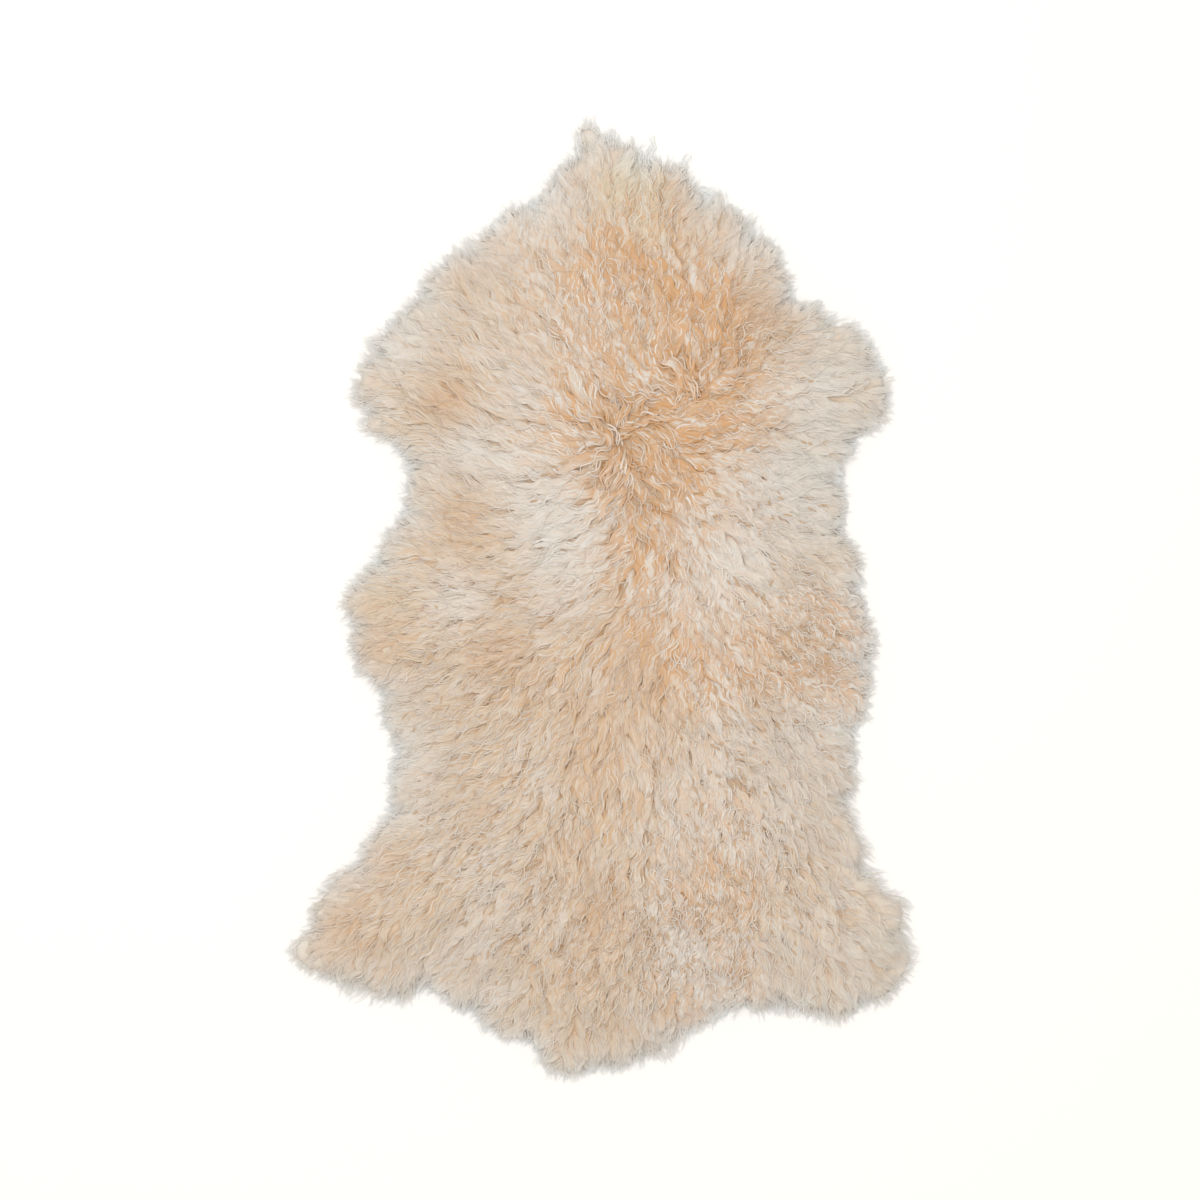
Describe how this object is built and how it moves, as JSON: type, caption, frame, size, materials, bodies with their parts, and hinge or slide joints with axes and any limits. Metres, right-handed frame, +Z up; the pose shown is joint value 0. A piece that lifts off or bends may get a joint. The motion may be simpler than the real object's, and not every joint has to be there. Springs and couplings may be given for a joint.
{
  "type": "sheepskin rug",
  "caption": "Whole lambskin rug laid flat, long curly wool up, with short neck, leg and tail lobes, a lumpy pile and tufted locks around its rim.",
  "frame": {"origin": "on the floor, under the middle of the rug's bounding box, on the skin's flat flesh side", "axes": "+Z up out of the wool, +Y towards the neck, +X towards the pelt's right side as seen from above"},
  "size_m": [0.62, 0.959, 0.0474],
  "materials": {
    "wool": "cream and apricot curly lambswool, matt",
    "skin": "tanned flesh side, napped suede"
  },
  "bodies": {
    "root": {"sheepskin": "wool"}
  },
  "joints": []
}
